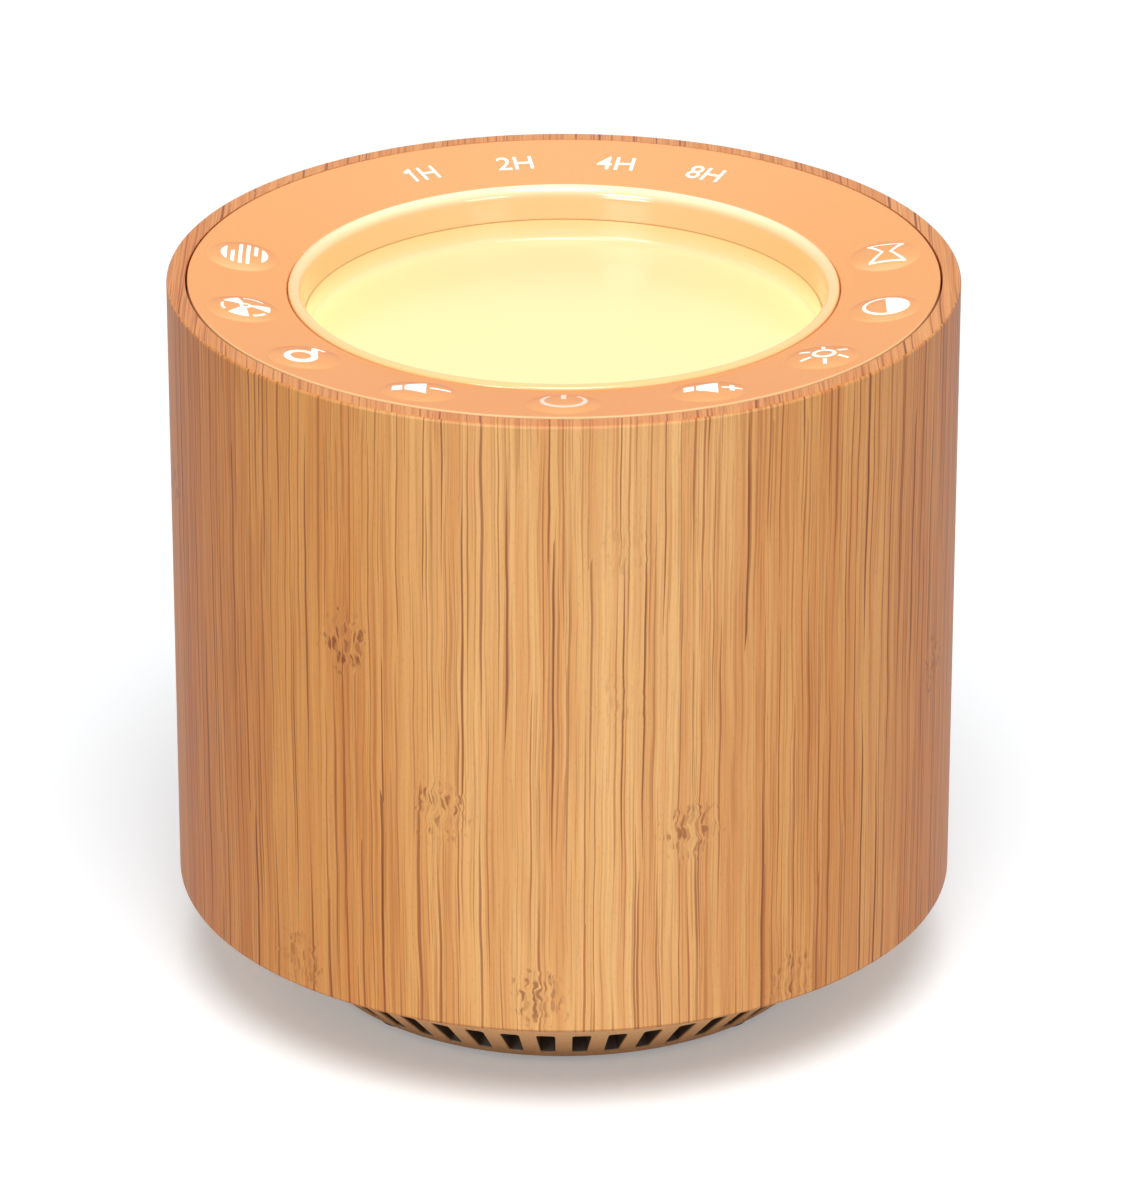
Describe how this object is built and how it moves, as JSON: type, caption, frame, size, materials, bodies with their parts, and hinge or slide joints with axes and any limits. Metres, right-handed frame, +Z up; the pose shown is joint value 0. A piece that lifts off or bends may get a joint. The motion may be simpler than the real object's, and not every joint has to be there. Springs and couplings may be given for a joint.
{
  "type": "white noise sound machine",
  "caption": "Cylindrical bedside sound machine: bamboo sleeve, sloping ring of domed keys round a sunken glowing lamp dish, downward speaker behind a slotted conical base.",
  "frame": {"origin": "on the table, at the middle of the machine's round footprint", "axes": "+Z up along the sleeve's axis; the power key faces -Y and the power socket +Y"},
  "size_m": [0.1, 0.1, 0.0949],
  "materials": {
    "bamboo": "satin bamboo, bare oiled",
    "panel_plastic": "fine matt texture, peach",
    "key_plastic": "fine matt texture, peach",
    "lamp_plastic": "translucent warm white, lit from below",
    "white_plastic": "reflective white",
    "grey_plastic": "moulded, fine texture",
    "brown_plastic": "matt, bamboo tan",
    "black_plastic": "moulded black",
    "circuit_board": "green solder mask",
    "led_plastic": "phosphor yellow",
    "header_plastic": "ivory nylon",
    "ribbon_plastic": "flat cable, pale grey",
    "wire_plastic": "PVC insulation",
    "screw_steel": "zinc plated",
    "socket_steel": "nickel plated",
    "speaker_steel": "black electrophoretic paint",
    "yoke_steel": "zinc plated",
    "ferrite": "sintered ferrite, dark grey",
    "coil_copper": "enamelled copper wire",
    "cone_paper": "pressed paper pulp",
    "soft_rubber": "soft rubber",
    "spider_cloth": "resin treated cotton",
    "screen_cloth": "open black mesh",
    "gasket_foam": "closed cell foam",
    "foot_rubber": "matt silicone"
  },
  "bodies": {
    "housing": {"bamboo_sleeve": "bamboo", "control_panel": "panel_plastic", "lamp_bezel": "lamp_plastic", "lamp_diffuser": "lamp_plastic", "lamp_reflector": "white_plastic", "lamp_board": "circuit_board", "lamp_leds": "led_plastic", "lamp_screws": "screw_steel", "key_board": "circuit_board", "key_switches": "black_plastic", "icon_leds": "led_plastic", "inner_chassis": "grey_plastic", "panel_screws": "screw_steel", "main_board": "circuit_board", "board_screws": "screw_steel", "board_chips": "black_plastic", "capacitors": "black_plastic", "board_headers": "header_plastic", "usb_socket": "socket_steel", "usb_tongue": "black_plastic", "key_cable": "ribbon_plastic", "lamp_cable": "wire_plastic", "speaker_cable": "wire_plastic", "speaker_baffle": "black_plastic", "chassis_screws": "screw_steel", "speaker_gasket": "gasket_foam", "speaker_basket": "speaker_steel", "speaker_screws": "screw_steel", "speaker_terminals": "black_plastic", "front_plate": "yoke_steel", "speaker_magnet": "ferrite", "pole_yoke": "yoke_steel", "cone_surround": "soft_rubber", "cone_spider": "spider_cloth", "base_grille": "brown_plastic", "grille_screen": "screen_cloth", "base_screws": "screw_steel", "rubber_feet": "foot_rubber"},
    "noise_button": {"noise_key": "key_plastic", "noise_plunger": "white_plastic"},
    "fan_button": {"fan_key": "key_plastic", "fan_plunger": "white_plastic"},
    "music_button": {"music_key": "key_plastic", "music_plunger": "white_plastic"},
    "volume_down_button": {"volume_down_key": "key_plastic", "volume_down_plunger": "white_plastic"},
    "power_button": {"power_key": "key_plastic", "power_plunger": "white_plastic"},
    "volume_up_button": {"volume_up_key": "key_plastic", "volume_up_plunger": "white_plastic"},
    "brightness_button": {"brightness_key": "key_plastic", "brightness_plunger": "white_plastic"},
    "colour_button": {"colour_key": "key_plastic", "colour_plunger": "white_plastic"},
    "timer_button": {"timer_key": "key_plastic", "timer_plunger": "white_plastic"},
    "speaker_drive": {"voice_coil": "coil_copper", "speaker_cone": "cone_paper", "dust_cap": "cone_paper"}
  },
  "joints": [
    {"name": "noise_press", "type": "slide", "parent": "housing", "child": "noise_button", "axis": [0, 0, -1], "range_m": [0, 0.00035], "stiffness_N_per_m": 4000},
    {"name": "fan_press", "type": "slide", "parent": "housing", "child": "fan_button", "axis": [0, 0, -1], "range_m": [0, 0.00035], "stiffness_N_per_m": 4000},
    {"name": "music_press", "type": "slide", "parent": "housing", "child": "music_button", "axis": [0, 0, -1], "range_m": [0, 0.00035], "stiffness_N_per_m": 4000},
    {"name": "volume_down_press", "type": "slide", "parent": "housing", "child": "volume_down_button", "axis": [0, 0, -1], "range_m": [0, 0.00035], "stiffness_N_per_m": 4000},
    {"name": "power_press", "type": "slide", "parent": "housing", "child": "power_button", "axis": [0, 0, -1], "range_m": [0, 0.00035], "stiffness_N_per_m": 4000},
    {"name": "volume_up_press", "type": "slide", "parent": "housing", "child": "volume_up_button", "axis": [0, 0, -1], "range_m": [0, 0.00035], "stiffness_N_per_m": 4000},
    {"name": "brightness_press", "type": "slide", "parent": "housing", "child": "brightness_button", "axis": [0, 0, -1], "range_m": [0, 0.00035], "stiffness_N_per_m": 4000},
    {"name": "colour_press", "type": "slide", "parent": "housing", "child": "colour_button", "axis": [0, 0, -1], "range_m": [0, 0.00035], "stiffness_N_per_m": 4000},
    {"name": "timer_press", "type": "slide", "parent": "housing", "child": "timer_button", "axis": [0, 0, -1], "range_m": [0, 0.00035], "stiffness_N_per_m": 4000},
    {"name": "speaker_stroke", "type": "slide", "parent": "housing", "child": "speaker_drive", "axis": [0, 0, 1], "range_m": [-0.0008, 0.0008], "stiffness_N_per_m": 1500, "deforming": ["cone_surround", "cone_spider"]}
  ]
}
